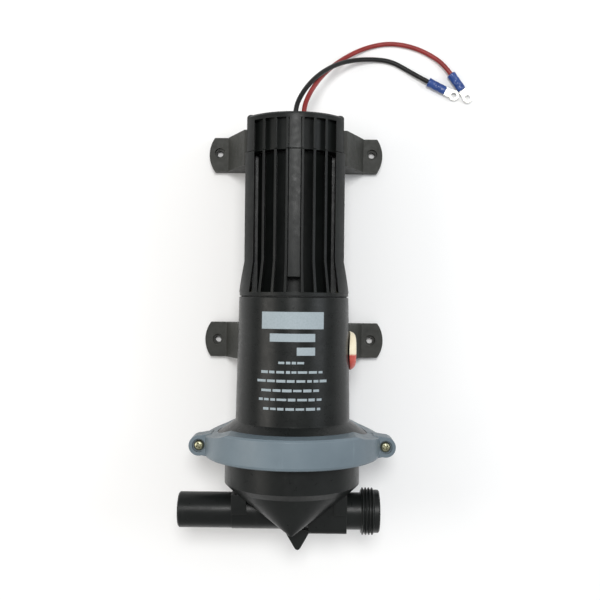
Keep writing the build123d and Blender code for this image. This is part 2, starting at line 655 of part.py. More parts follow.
# ---- pump head and ports ------------------------------------------------------------------------
def pump_head():
    """Chamber bowl on a V-shaped keel, with the port manifold across it and a drip point below."""
    with BuildPart() as head:
        turned([
            (0, HEAD_BASE), (HEAD_BASE_R, HEAD_BASE), (HEAD_R, HEAD_SHOULDER), (HEAD_R, -151.9),
            (FLANGE_R - 0.3, -147.1), (FLANGE_R - 0.3, HEAD_TOP), (0, HEAD_TOP),
        ])
        with BuildSketch(Plane(origin=(0, HEAD_BASE, AXIS_HEIGHT), x_dir=(0, 0, 1), z_dir=(0, -1, 0))):
            SlotOverall(2 * HEAD_BASE_R + 0.04, 2 * HEAD_BASE_R)
        with BuildSketch(Plane(origin=(0, KEEL_TIP, AXIS_HEIGHT), x_dir=(0, 0, 1), z_dir=(0, -1, 0))):
            SlotOverall(2 * KEEL_HALF_LENGTH, 2.0)
        loft(ruled=True)
        cross_disc(SOCKET_LEFT, MANIFOLD_R, -SOCKET_LEFT, PORT_AXIS, AXIS_HEIGHT)
        block(SOCKET_LEFT, -32, PORT_AXIS, PORT_AXIS + 14, AXIS_HEIGHT - 13.5, AXIS_HEIGHT + 15.5)
        with BuildSketch(along_x(12.2, PORT_AXIS, AXIS_HEIGHT)):
            with Locations((-0.4, 0)):
                RectangleRounded(27.2, 27.0, 4.0)
        extrude(amount=SOCKET_RIGHT - 12.2)
        block(30, SOCKET_RIGHT, PORT_AXIS, PORT_AXIS + 14, AXIS_HEIGHT - 13.5, AXIS_HEIGHT + 15.5)
        cross_disc(-5, MANIFOLD_R, 25, PORT_AXIS, AXIS_HEIGHT)
        fin = [
            (-6.5, -204.0), (13.5, -206.5), (6.6, -218.8), (5.6, -219.9), (4.4, -220.4), (3.2, -219.9),
            (2.4, -219.0),
        ]
        front_prism(fin, -4.5, 4.5)
        turned([(0, -165), (30, -165), (44.5, -151), (44.5, HEAD_TOP), (0, HEAD_TOP)], Mode.SUBTRACT)
        cross_disc(SOCKET_LEFT, PLUG_R + 0.05, 13.5, PORT_AXIS, AXIS_HEIGHT, Mode.SUBTRACT)
        cross_disc(-29, PORT_BORE_R, 25.5, PORT_AXIS, AXIS_HEIGHT, Mode.SUBTRACT)
        cross_disc(8, PORT_BORE_R, 21, PORT_AXIS, AXIS_HEIGHT, Mode.SUBTRACT)
        cross_disc(29, PLUG_R + 0.05, 10, PORT_AXIS, AXIS_HEIGHT, Mode.SUBTRACT)
        cross_disc(SOCKET_RIGHT, NECK_R + PARTING, 12, PORT_AXIS, AXIS_HEIGHT, Mode.SUBTRACT)
        disc(-164, 5.0, 29, Mode.SUBTRACT, x=-8.5)
        disc(-164, 6.0, 29, Mode.SUBTRACT, x=16.0)
    save("pump_head", head)


def ports():
    """Smooth hose spigot on the left and threaded port on the right, each with its O-ring seal."""
    with BuildPart() as spigot:
        cross_disc(SPIGOT_END, SPIGOT_R, SOCKET_LEFT - SPIGOT_END, PORT_AXIS, AXIS_HEIGHT)
        chamfer(spigot.faces().sort_by(Axis.X)[0].edges(), length=1.0)
        cross_disc(SOCKET_LEFT, PLUG_R, 11.5, PORT_AXIS, AXIS_HEIGHT)
        cross_disc(-38, PLUG_R, 2.4, PORT_AXIS, AXIS_HEIGHT, Mode.SUBTRACT)
        cross_disc(-38, PLUG_R - 1.4, 2.4, PORT_AXIS, AXIS_HEIGHT)
        cross_disc(SPIGOT_END, 8.0, 52, PORT_AXIS, AXIS_HEIGHT, Mode.SUBTRACT)
    save("inlet_port", spigot)

    with BuildPart() as threaded:
        cross_disc(31, PLUG_R, 8, PORT_AXIS, AXIS_HEIGHT)
        cross_disc(SOCKET_RIGHT, NECK_R, THREAD_START - SOCKET_RIGHT, PORT_AXIS, AXIS_HEIGHT)
        crest = 0.55
        root_r = THREAD_R - 1.479
        with BuildSketch(FRONT.move(Location((0, PORT_AXIS, 0)))):
            with BuildLine():
                points = [(THREAD_START, 0), (THREAD_START, root_r)]
                x = THREAD_START + 0.3
                while x + THREAD_PITCH < THREAD_END:
                    flank = (THREAD_PITCH - crest) / 2 - 0.25
                    points += [(x, root_r), (x + flank, THREAD_R), (x + flank + crest, THREAD_R),
                               (x + 2 * flank + crest, root_r)]
                    x += THREAD_PITCH
                points += [(LIP_END - 0.8, root_r), (LIP_END, root_r - 0.8), (LIP_END, 0)]
                Polyline(*points, close=True)
            make_face()
        revolve(axis=Axis((0, PORT_AXIS, AXIS_HEIGHT), (1, 0, 0)))
        cross_disc(33.5, PLUG_R, 2.4, PORT_AXIS, AXIS_HEIGHT, Mode.SUBTRACT)
        cross_disc(33.5, PLUG_R - 1.4, 2.4, PORT_AXIS, AXIS_HEIGHT)
        cross_disc(31, 8.6, 8, PORT_AXIS, AXIS_HEIGHT, Mode.SUBTRACT)
        cross_disc(SOCKET_RIGHT, 10.5, LIP_END - SOCKET_RIGHT, PORT_AXIS, AXIS_HEIGHT, Mode.SUBTRACT)
    save("outlet_port", threaded)

    with BuildPart() as seals:
        for x in (-37.9, 33.6):
            cross_disc(x, PLUG_R + 0.05, 2.2, PORT_AXIS, AXIS_HEIGHT)
            cross_disc(x, PLUG_R - 1.4, 2.2, PORT_AXIS, AXIS_HEIGHT, Mode.SUBTRACT)
    save("port_seals", seals)


def duckbill(name, x):
    """Rubber duckbill valve that opens towards +X: round flange, short tube, and flat lips."""
    with BuildPart() as valve:
        cross_disc(x, PLUG_R - 0.1, 2, PORT_AXIS, AXIS_HEIGHT)
        cross_disc(x + 2, 7.8, 2, PORT_AXIS, AXIS_HEIGHT)
        with BuildSketch(along_x(x + 4, PORT_AXIS, AXIS_HEIGHT)):
            Circle(7.8)
        with BuildSketch(along_x(x + 15, PORT_AXIS, AXIS_HEIGHT)):
            Ellipse(7.5, 0.95)
        loft()
        cross_disc(x, 6.4, 5, PORT_AXIS, AXIS_HEIGHT, Mode.SUBTRACT)
        with BuildSketch(along_x(x + 5, PORT_AXIS, AXIS_HEIGHT)):
            Circle(5.8)
        with BuildSketch(along_x(x + 13.5, PORT_AXIS, AXIS_HEIGHT)):
            Ellipse(6.0, 0.3)
        loft(mode=Mode.SUBTRACT)
        low, high = AXIS_HEIGHT - 0.2, AXIS_HEIGHT + 0.2
        block(x + 13.0, x + 16, PORT_AXIS - 6, PORT_AXIS + 6, low, high, Mode.SUBTRACT)
    save(name, valve)


# ---- mounting brackets --------------------------------------------------------------------------
def bracket(name, y_mid, half_height, reach, hole_y, taper, body):
    """Foot bracket: a saddle on the body's dovetail, ramped down to a foot with one hole each side.

    The taper is how far the upper edge falls from the top of the ramp to the tip of the foot.
    """
    shoulder = 53.5
    end_r = 23.0
    ramp_top = (38.5, 42)
    y_top = y_mid + half_height
    y_bottom = y_mid - half_height
    with BuildPart() as foot:
        with BuildSketch():
            with Locations((0, y_mid)):
                Rectangle(2 * (reach - end_r), 2 * half_height)
            with Locations((end_r - reach, y_mid), (reach - end_r, y_mid)):
                Circle(end_r)
            with Locations((0, y_mid)):
                Rectangle(2 * reach, 2 * half_height, mode=Mode.INTERSECT)
        extrude(amount=FOOT_THICKNESS)
        with BuildSketch(Plane(origin=(0, y_top, 0), x_dir=(1, 0, 0), z_dir=(0, -1, 0))):
            with BuildLine():
                right = [(shoulder, 4), (shoulder - 0.5, FOOT_THICKNESS + 1.5), ramp_top]
                left = [(-x, z) for x, z in reversed(right)]
                Polyline(*right, *left, close=True)
            make_face()
        extrude(amount=2 * half_height)
        with BuildSketch(across(y_top)):
            body()
        extrude(amount=2 * half_height, mode=Mode.SUBTRACT)
        dovetail(7.2, 10.2, y_top, y_bottom, 21.8, 40.0, Mode.SUBTRACT)
        for side in (-1, 1):
            if taper:
                near, far = side * ramp_top[0], side * reach
                wedge = [(near, y_top), (far, y_top - taper), (far, y_top + 1), (near, y_top + 1)]
                front_prism(wedge, -AXIS_HEIGHT, 0, Mode.SUBTRACT)
            with BuildSketch():
                with Locations((side * HOLE_X, hole_y)):
                    Circle(HOLE_R)
            extrude(amount=FOOT_THICKNESS, mode=Mode.SUBTRACT)
            with BuildSketch(Plane.XY.offset(FOOT_THICKNESS - 2.5)):
                with Locations((side * HOLE_X, hole_y)):
                    Circle(COUNTERBORE_R)
            extrude(amount=2.5, mode=Mode.SUBTRACT)
    save(name, foot)


def brackets():
    """Upper bracket behind the motor cap and lower bracket behind the gear housing."""
    def motor_body():
        flat_sided_disc(MOTOR_HALF + PARTING, GEAR_R_TOP + PARTING)

    def gear_body():
        Circle(GEAR_R_BOTTOM - 0.3)

    bracket("upper_bracket", UPPER_FOOT_Y, UPPER_FOOT_HALF, UPPER_REACH, HOLE_Y, UPPER_TAPER, motor_body)
    bracket("lower_bracket", -HOLE_Y, LOWER_FOOT_HALF, LOWER_REACH, -HOLE_Y, 0, gear_body)


def side_plug():
    """Domed plug on the right flank of the gear housing."""
    with BuildPart() as plug:
        plane = along_x(38.0, -78.0, AXIS_HEIGHT - 6)
        with BuildSketch(plane):
            Circle(14.0)
        extrude(amount=7.2)
        fillet(plug.faces().sort_by(Axis.X)[-1].edges(), radius=5.0)
        disc(-60, GEAR_R_BOTTOM - 0.2, 40, Mode.SUBTRACT)
    save("side_plug", plug)


# ---- leads --------------------------------------------------------------------------------------
BLACK_ROUTE = [
    (BLACK_X, COLLAR_END, EXIT_HEIGHT), (BLACK_X, 99.5, EXIT_HEIGHT), (4.0, 110.5, 50), (10.5, 121, 43),
    (19, 131, 33.5), (31, 141, 20.5), (45, 147.4, 9), (60, 150, 2.9), (75, 148.6, 1.9), (88.5, 141.2, 1.9),
    (96.9, 135.9, SLEEVE_R), (104.0, 132.3, SLEEVE_R),
]
RED_ROUTE = [
    (RED_X, COLLAR_END, EXIT_HEIGHT), (RED_X, 99.5, EXIT_HEIGHT), (9.4, 110.5, 49), (14.3, 120.5, 39.5),
    (20, 130.5, 27.5), (28.5, 141.5, 14.5), (40, 151.5, 5.5), (55, 159.5, 1.9), (73, 163.2, 1.9),
    (92, 160.3, 1.9), (107.5, 153.2, 1.9), (116.93, 145.46, SLEEVE_R), (121.95, 138.6, SLEEVE_R),
]


def bend_radii(points):
    """Largest radius that each corner's two runs leave room for."""
    radii = []
    for before, here, after in zip(points, points[1:], points[2:]):
        run_in = Vector(*here) - Vector(*before)
        run_out = Vector(*after) - Vector(*here)
        turn = math.radians(run_in.get_angle(run_out))
        radii.append(0.45 * min(run_in.length, run_out.length) / math.tan(turn / 2))
    return radii


def lead(colour, route):
    """One lead with its crimped ring terminal: wire, insulating sleeve, and metal tongue."""
    radii = bend_radii(route)
    print(colour, "lead bend radii", [round(r, 1) for r in radii])
    with BuildPart() as wire:
        with BuildLine():
            path = FilletPolyline(*route, radius=radii)
        with BuildSketch(Plane(path @ 0, z_dir=path % 0)):
            Circle(WIRE_R)
        sweep(path=path)
    section = math.pi * WIRE_R**2
    print(colour, "lead", round(path.length, 1), "mm, volume over section", wire.part.volume / section)
    save(f"wire_{colour}", wire)

    start = Vector(*route[-1])
    forward = (start - Vector(*route[-2])).normalized()
    sideways = Vector(-forward.Y, forward.X, 0)
    with BuildPart() as sleeve:
        with BuildSketch(Plane(start, x_dir=sideways, z_dir=forward)):
            Circle(SLEEVE_R)
        extrude(amount=SLEEVE_LENGTH)
    save(f"terminal_sleeve_{colour}", sleeve)

    tip = start + forward * SLEEVE_LENGTH
    with BuildPart() as tongue:
        with BuildSketch(Plane(tip - Vector(0, 0, 0.4), x_dir=forward, z_dir=(0, 0, 1))):
            with Locations((EYE_REACH / 2, 0)):
                Rectangle(EYE_REACH, TONGUE_WIDTH)
            with Locations((EYE_REACH, 0)):
                Circle(EYE_R)
                Circle(EYE_HOLE_R, mode=Mode.SUBTRACT)
        extrude(amount=0.8)
    save(f"terminal_tongue_{colour}", tongue)


# ---- build every sub-part -----------------------------------------------------------------------
motor_housing()
motor_cap()
cap_gasket()
cable_grommet()
tie_screws()
motor_internals()
gear_housing()
housing_gasket()
gear_frame()
gear_train()
crank_and_rod()
diaphragm()
clamp_half("clamp_ring_front", 1)
clamp_half("clamp_ring_rear", -1)
clamp_fasteners()
pump_head()
ports()
duckbill("inlet_valve", -31)
duckbill("outlet_valve", 29)
brackets()
side_plug()
lead("black", BLACK_ROUTE)
lead("red", RED_ROUTE)
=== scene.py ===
"""Looks for an electric diaphragm bilge pump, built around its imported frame. Lengths are metres."""

import json
import math
import random

import bmesh
import bpy
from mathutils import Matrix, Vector


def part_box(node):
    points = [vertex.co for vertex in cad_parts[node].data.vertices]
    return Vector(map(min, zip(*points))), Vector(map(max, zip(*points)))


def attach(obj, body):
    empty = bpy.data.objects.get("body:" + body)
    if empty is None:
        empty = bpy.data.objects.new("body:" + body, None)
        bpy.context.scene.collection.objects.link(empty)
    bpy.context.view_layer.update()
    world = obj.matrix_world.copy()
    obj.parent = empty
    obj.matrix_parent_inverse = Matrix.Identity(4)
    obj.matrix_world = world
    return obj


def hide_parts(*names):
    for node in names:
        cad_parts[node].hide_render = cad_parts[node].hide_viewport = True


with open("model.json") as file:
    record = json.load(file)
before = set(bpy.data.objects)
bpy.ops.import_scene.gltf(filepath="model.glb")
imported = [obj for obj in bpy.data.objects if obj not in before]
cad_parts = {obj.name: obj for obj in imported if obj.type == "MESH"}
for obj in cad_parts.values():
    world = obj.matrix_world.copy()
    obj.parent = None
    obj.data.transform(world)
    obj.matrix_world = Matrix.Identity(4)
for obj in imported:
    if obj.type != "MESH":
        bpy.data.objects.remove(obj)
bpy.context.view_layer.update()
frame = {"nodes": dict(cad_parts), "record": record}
NODES = frame["nodes"]
MM = 0.001
AXIS_HEIGHT = 0.066

# ---- camera -------------------------------------------------------------------------------------
CAMERA_PLACE = (0.0044, -0.0417, 0.680)
CAMERA_ROLL_DEGREES = 0.63
LENS_MM = 51.2

camera_data = bpy.data.cameras.new("camera")
camera_data.sensor_width = 36
camera_data.lens = LENS_MM
camera_data.clip_start = 0.01
camera = bpy.data.objects.new("camera", camera_data)
camera.location = CAMERA_PLACE
camera.rotation_euler = (0, 0, math.radians(CAMERA_ROLL_DEGREES))
bpy.context.scene.collection.objects.link(camera)
bpy.context.scene.camera = camera


# ---- node graphs --------------------------------------------------------------------------------
class Graph:
    """A material with a Principled shader and short calls for the nodes that feed it."""

    def __init__(self, name, colour, roughness, **sockets):
        self.material = bpy.data.materials.new(name)
        self.material.use_nodes = True
        self.nodes = self.material.node_tree.nodes
        self.links = self.material.node_tree.links
        self.shader = self.nodes["Principled BSDF"]
        self.set(self.shader, "Base Color", (*colour, 1))
        self.set(self.shader, "Roughness", roughness)
        for socket, value in sockets.items():
            self.set(self.shader, socket.replace("_", " "), value)
        self.place = self.nodes.new("ShaderNodeTexCoord").outputs["Object"]

    def set(self, node, socket, value):
        """Gives a socket a plain value, or links it to another node's output."""
        if isinstance(value, bpy.types.NodeSocket):
            self.links.new(value, node.inputs[socket])
        else:
            node.inputs[socket].default_value = value

    def stretch(self, factors):
        """Object coordinates scaled by axis, for grain that runs one way."""
        node = self.nodes.new("ShaderNodeVectorMath")
        node.operation = "MULTIPLY"
        self.set(node, 0, self.place)
        self.set(node, 1, factors)
        return node.outputs[0]

    def noise(self, scale, detail=3.0, roughness=0.5, place=None):
        """Noise in object space, in features per metre."""
        node = self.nodes.new("ShaderNodeTexNoise")
        self.set(node, "Vector", place or self.place)
        self.set(node, "Scale", scale)
        self.set(node, "Detail", detail)
        self.set(node, "Roughness", roughness)
        return node.outputs["Fac"]

    def remap(self, value, low, high, to_low=0.0, to_high=1.0):
        """A value stretched from one range to another, and held within it."""
        node = self.nodes.new("ShaderNodeMapRange")
        self.set(node, "Value", value)
        limits = {"From Min": low, "From Max": high, "To Min": to_low, "To Max": to_high}
        for socket, number in limits.items():
            self.set(node, socket, number)
        return node.outputs["Result"]

    def combine(self, operation, first, second):
        """Two values joined by one math operation."""
        node = self.nodes.new("ShaderNodeMath")
        node.operation = operation
        self.set(node, 0, first)
        self.set(node, 1, second)
        return node.outputs[0]

    def mix(self, factor, first, second):
        """The first colour where the factor is 0 and the second where it is 1."""
        node = self.nodes.new("ShaderNodeMix")
        node.data_type = "RGBA"
        self.set(node, "Factor", factor)
        for socket, colour in ((6, first), (7, second)):
            if not isinstance(colour, bpy.types.NodeSocket):
                colour = (*colour, 1)
            self.set(node, socket, colour)
        return node.outputs[2]

    def edges(self, radius, sharpness=0.22):
        """1 on edges and 0 on flats: how far the rounded normal leans from the true one."""
        bevel = self.nodes.new("ShaderNodeBevel")
        bevel.samples = 4
        self.set(bevel, "Radius", radius)
        geometry = self.nodes.new("ShaderNodeNewGeometry")
        dot = self.nodes.new("ShaderNodeVectorMath")
        dot.operation = "DOT_PRODUCT"
        self.set(dot, 0, bevel.outputs["Normal"])
        self.set(dot, 1, geometry.outputs["Normal"])
        return self.remap(dot.outputs["Value"], 1.0, 1.0 - sharpness)

    def along(self, axis):
        """One object coordinate."""
        node = self.nodes.new("ShaderNodeSeparateXYZ")
        self.set(node, 0, self.place)
        return node.outputs[axis]

    def surface(self, layers, round_edges):
        """Bumps from (height, depth in metres) layers over edges rounded by a small radius."""
        normal = None
        if round_edges:
            bevel = self.nodes.new("ShaderNodeBevel")
            bevel.samples = 6
            self.set(bevel, "Radius", round_edges)
            normal = bevel.outputs["Normal"]
        for height, depth in layers:
            bump = self.nodes.new("ShaderNodeBump")
            self.set(bump, "Height", height)
            self.set(bump, "Distance", depth)
            self.set(bump, "Strength", 1.0)
            if normal:
                self.set(bump, "Normal", normal)
            normal = bump.outputs["Normal"]
        if normal:
            self.set(self.shader, "Normal", normal)


def moulded(name, dark, light, scuff_and_highlight_colour, roughness, grain=0.00003, edge_scuff_and_highlight_peak=0.5, edge=0.0005, gloss=0.5):
    """Moulded plastic: fine spark grain, faint cloudiness, scuffs, and paler edges that are partly
    wear in random patches and partly a painted highlight along every edge.
    """
    g = Graph(name, dark, 0.5, Specular_IOR_Level=gloss)
    cloud = g.remap(g.noise(28, 4), 0.35, 0.68)
    body = g.mix(cloud, dark, light)
    scuff_noise = g.noise(95, 6, 0.75, g.stretch((1.0, 0.18, 1.0)))
    scuffs = g.remap(scuff_noise, 0.60, 0.74, 0, 0.30)
    body = g.mix(scuffs, body, scuff_and_highlight_colour)
    # paler edges: random patches of wear laid over a painted highlight, which gives every edge at
    # least 0.15 of the pale colour
    patches = g.remap(g.noise(160, 4), 0.38, 0.66, 0.15, edge_scuff_and_highlight_peak)
    edge_scuff_and_highlight_mask = g.combine("MULTIPLY", g.edges(0.0011), patches)
    g.set(g.shader, "Base Color", g.mix(edge_scuff_and_highlight_mask, body, scuff_and_highlight_colour))
    low, high = roughness
    g.set(g.shader, "Roughness", g.remap(g.noise(240, 5, 0.65), 0.3, 0.72, low, high))
    g.surface([(g.noise(2100, 2), grain), (g.noise(420, 3), grain * 0.7)], edge)
    return g.material


def metal(name, dark, light, roughness, brushed=(1, 1, 1), grain=0.000012, edge=0.0002):
    """Bare or plated metal with cloudy plating, fine brushing and a painted highlight along every
    edge.
    """
    g = Graph(name, dark, 0.3, Metallic=1.0)
    tint = g.mix(g.remap(g.noise(320, 5, 0.6), 0.3, 0.7), dark, light)
    # painted highlight: every edge is mixed towards a brighter copy of the light colour
    bright = tuple(min(1.0, value * 1.25) for value in light)
    painted_edge_highlight = g.combine("MULTIPLY", g.edges(0.0005), 0.6)
    g.set(g.shader, "Base Color", g.mix(painted_edge_highlight, tint, bright))
    low, high = roughness
    lines = g.noise(1400, 3, 0.6, g.stretch(brushed))
    g.set(g.shader, "Roughness", g.remap(lines, 0.3, 0.7, low, high))
    g.surface([(lines, grain)], edge)
    return g.material


def soft_plastic(name, dark, light, roughness, coat=0.0, grain=0.00002, gloss=0.5):
    """Flexible vinyl or rubber: even colour with slight mottling and a waxy surface."""
    g = Graph(name, dark, 0.4, Coat_Weight=coat, Coat_Roughness=0.25, Specular_IOR_Level=gloss)
    g.set(g.shader, "Base Color", g.mix(g.remap(g.noise(110, 5, 0.6), 0.3, 0.7), dark, light))
    low, high = roughness
    g.set(g.shader, "Roughness", g.remap(g.noise(500, 4), 0.3, 0.7, low, high))
    g.surface([(g.noise(900, 3), grain)], 0.0002)
    return g.material


def plug_material(name, red_below, cream_above):
    """Cream plug that is red below one height, with a soft ragged join between the colours."""
    g = Graph(name, (0.75, 0.68, 0.5), 0.35)
    wobble = g.combine("MULTIPLY", g.noise(400, 2), 0.001)
    height = g.combine("ADD", g.along("Y"), wobble)
    cream = g.mix(g.noise(180, 4), (0.72, 0.62, 0.42), (0.85, 0.79, 0.62))
    red = g.mix(g.noise(200, 4), (0.45, 0.05, 0.04), (0.62, 0.12, 0.09))
    g.set(g.shader, "Base Color", g.mix(g.remap(height, red_below, cream_above), red, cream))
    g.set(g.shader, "Roughness", g.remap(g.noise(300, 4), 0.3, 0.7, 0.3, 0.5))
    g.surface([(g.noise(900, 2), 0.00002)], 0.0005)
    return g.material


def print_material(name):
    """Pale screen print, slightly thin in places."""
    g = Graph(name, (0.28, 0.33, 0.35), 0.55, Specular_IOR_Level=0.3)
    thin = g.remap(g.noise(900, 3, 0.6), 0.30, 0.60)
    g.set(g.shader, "Base Color", g.mix(thin, (0.26, 0.31, 0.33), (0.30, 0.35, 0.38)))
    g.set(g.shader, "Roughness", g.remap(g.noise(300, 3), 0.3, 0.7, 0.45, 0.6))
    g.surface([(g.noise(1800, 2), 0.00001)], 0)
    return g.material


BLACK = dict(
    dark=(0.0055, 0.0065, 0.0062),
    light=(0.010, 0.0115, 0.0110),
    scuff_and_highlight_colour=(0.040, 0.042, 0.040),
)
LOOKS = {
    "black_plastic": (moulded, dict(BLACK, roughness=(0.30, 0.46), edge_scuff_and_highlight_peak=0.3, gloss=0.17)),
    "housing_plastic": (moulded, dict(BLACK, roughness=(0.24, 0.38), edge_scuff_and_highlight_peak=0.25, gloss=0.2)),
    "head_plastic": (moulded, dict(BLACK, roughness=(0.26, 0.42), edge_scuff_and_highlight_peak=0.5, gloss=0.22)),
    "bracket_plastic": (moulded, dict(
        dark=(0.022, 0.023, 0.020), light=(0.036, 0.037, 0.032), scuff_and_highlight_colour=(0.11, 0.11, 0.10),
        roughness=(0.50, 0.70), grain=0.00006, gloss=0.35,
    )),
    "ring_plastic": (moulded, dict(
        dark=(0.100, 0.135, 0.160), light=(0.130, 0.170, 0.198), scuff_and_highlight_colour=(0.24, 0.29, 0.32),
        roughness=(0.34, 0.50), edge_scuff_and_highlight_peak=0.4,
    )),
    "gear_plastic": (moulded, dict(
        dark=(0.66, 0.63, 0.54), light=(0.76, 0.74, 0.66), scuff_and_highlight_colour=(0.82, 0.80, 0.74),
        roughness=(0.30, 0.42), grain=0.00001,
    )),
    "plug_plastic": (plug_material, dict(red_below=-0.0805, cream_above=-0.0790)),
    "sleeve_blue": (soft_plastic, dict(
        dark=(0.010, 0.040, 0.18), light=(0.020, 0.065, 0.26), roughness=(0.25, 0.40), coat=0.25,
    )),
    "wire_black": (soft_plastic, dict(
        dark=(0.006, 0.006, 0.006), light=(0.012, 0.012, 0.012), roughness=(0.34, 0.48), gloss=0.25,
    )),
    "wire_red": (soft_plastic, dict(
        dark=(0.19, 0.018, 0.017), light=(0.27, 0.030, 0.027), roughness=(0.32, 0.46), gloss=0.3,
    )),
    "rubber_black": (soft_plastic, dict(
        dark=(0.010, 0.010, 0.011), light=(0.022, 0.022, 0.022), roughness=(0.55, 0.75),
    )),
    "zinc_steel": (metal, dict(
        dark=(0.26, 0.26, 0.17), light=(0.46, 0.45, 0.31), roughness=(0.28, 0.44),
    )),
    "steel": (metal, dict(
        dark=(0.42, 0.43, 0.45), light=(0.62, 0.63, 0.65), roughness=(0.22, 0.36), brushed=(1, 12, 1),
    )),
    "tinned_copper": (metal, dict(
        dark=(0.55, 0.55, 0.51), light=(0.78, 0.77, 0.72), roughness=(0.24, 0.40), brushed=(1, 3, 1),
    )),
    "bronze": (metal, dict(
        dark=(0.40, 0.22, 0.08), light=(0.58, 0.36, 0.16), roughness=(0.36, 0.52),
    )),
    "copper": (metal, dict(
        dark=(0.50, 0.17, 0.07), light=(0.70, 0.28, 0.13), roughness=(0.28, 0.42),
        brushed=(12, 1, 12), grain=0.00005,
    )),
    "magnet": (moulded, dict(
        dark=(0.02, 0.02, 0.022), light=(0.04, 0.04, 0.042), scuff_and_highlight_colour=(0.10, 0.10, 0.10),
        roughness=(0.5, 0.7), grain=0.00005,
    )),
    "carbon": (moulded, dict(
        dark=(0.012, 0.012, 0.012), light=(0.03, 0.03, 0.03), scuff_and_highlight_colour=(0.07, 0.07, 0.07),
        roughness=(0.4, 0.6), grain=0.00002,
    )),
    "lamination": (metal, dict(
        dark=(0.16, 0.16, 0.17), light=(0.30, 0.30, 0.32), roughness=(0.4, 0.6),
        brushed=(1, 40, 1), grain=0.00006,
    )),
    "motor_paint": (metal, dict(
        dark=(0.42, 0.43, 0.42), light=(0.55, 0.56, 0.54), roughness=(0.35, 0.5),
    )),
    "print_ink": (print_material, {}),
}
MATERIALS = {name: make(name, **look) for name, (make, look) in LOOKS.items()}

for row in frame["record"]["subparts"]:
    node = NODES[row["node"]]
    for material_slot in node.material_slots:
        material_slot.material = MATERIALS[row["material_slot"]]


# ---- pieces -------------------------------------------------------------------------------------
def add_piece(name, mesh_or_curve, body, material):
    """Links a new piece, gives it a material and hangs it on a body."""
    piece = bpy.data.objects.new(name, mesh_or_curve)
    bpy.context.scene.collection.objects.link(piece)
    mesh_or_curve.materials.append(MATERIALS[material])
    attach(piece, body)
    return piece


def skinned(name, rings, smooth=True):
    """Closed mesh through a list of rings of points, each with as many points as the next."""
    count = len(rings[0])
    vertices = [point for ring in rings for point in ring]
    faces = []
    for first in range(len(rings) - 1):
        for n in range(count):
            a, b = first * count + n, first * count + (n + 1) % count
            faces.append((a, b, b + count, a + count))
    faces.append(tuple(reversed(range(count))))
    faces.append(tuple(range(len(vertices) - count, len(vertices))))
    mesh = bpy.data.meshes.new(name)
    mesh.from_pydata(vertices, [], faces)
    mesh.polygons.foreach_set("use_smooth", [smooth] * len(mesh.polygons))
    mesh.validate()
    fix = bmesh.new()
    fix.from_mesh(mesh)
    bmesh.ops.recalc_face_normals(fix, faces=fix.faces)
    fix.to_mesh(mesh)
    fix.free()
    return mesh


# ---- leads --------------------------------------------------------------------------------------
# the routes of the frame's own tubes, as the control points of one smooth spline each
ROUTES = {
    "black": [
        (-0.0005, 0.091, 0.054), (-0.0005, 0.0995, 0.054), (0.004, 0.1105, 0.050),
        (0.0105, 0.121, 0.043), (0.019, 0.131, 0.0335), (0.031, 0.141, 0.0205), (0.045, 0.1474, 0.009),
        (0.060, 0.150, 0.0029), (0.075, 0.1486, 0.0019), (0.0885, 0.1412, 0.0019),
        (0.0969, 0.1359, 0.00365), (0.104, 0.1323, 0.00365),
    ],
    "red": [
        (0.0056, 0.091, 0.054), (0.0056, 0.0995, 0.054), (0.0094, 0.1105, 0.049),
        (0.0143, 0.1205, 0.0395), (0.020, 0.1305, 0.0275), (0.0285, 0.1415, 0.0145),
        (0.040, 0.1515, 0.0055), (0.055, 0.1595, 0.0019), (0.073, 0.1632, 0.0019),
        (0.092, 0.1603, 0.0019), (0.1075, 0.1532, 0.0019), (0.11693, 0.14546, 0.00365),
        (0.12195, 0.1386, 0.00365),
    ],
}
WIRE_DIAMETER = 0.0036

# stations along a terminal's sleeve: distance, half width and half height in millimetres; the first
# few turn in round its mouth, and the two waists are the crimps
SLEEVE_STATIONS = [
    (2.6, 1.90, 1.90), (1.0, 2.35, 2.35), (0.25, 2.60, 2.60), (0.0, 2.95, 2.95), (0.15, 3.35, 3.35),
    (0.6, 3.58, 3.58), (1.4, 3.62, 3.62), (3.2, 3.45, 3.40), (4.6, 3.35, 3.15), (5.5, 3.45, 2.60),
    (6.6, 3.55, 2.30), (7.7, 3.45, 2.60), (8.6, 3.35, 3.10), (9.8, 3.32, 3.15), (10.7, 3.42, 2.70),
    (11.7, 3.50, 2.35), (12.7, 3.42, 2.60), (13.8, 3.38, 2.75), (14.8, 3.30, 2.40), (15.3, 3.10, 2.10),
    (15.5, 2.70, 1.80), (15.5, 1.20, 0.80),
]


def terminal_sleeve(name, route):
    """Insulating sleeve of a crimp terminal, on the line of the lead's last run."""
    start, before = Vector(route[-1]), Vector(route[-2])
    forward = (start - before).normalized()
    sideways = Vector((-forward.y, forward.x, 0))
    upward = Vector((0, 0, 1))
    rings = []
    for distance, half_width, half_height in SLEEVE_STATIONS:
        centre = start + forward * distance * MM
        rings.append([
            centre
            + sideways * half_width * MM * math.cos(angle)
            + upward * half_height * MM * math.sin(angle)
            for angle in (n * math.tau / 40 for n in range(40))
        ])
    piece = add_piece(name, skinned(name, rings), "casing", "sleeve_blue")
    refine = piece.modifiers.new("round", "SUBSURF")
    refine.levels = refine.render_levels = 1
    return piece


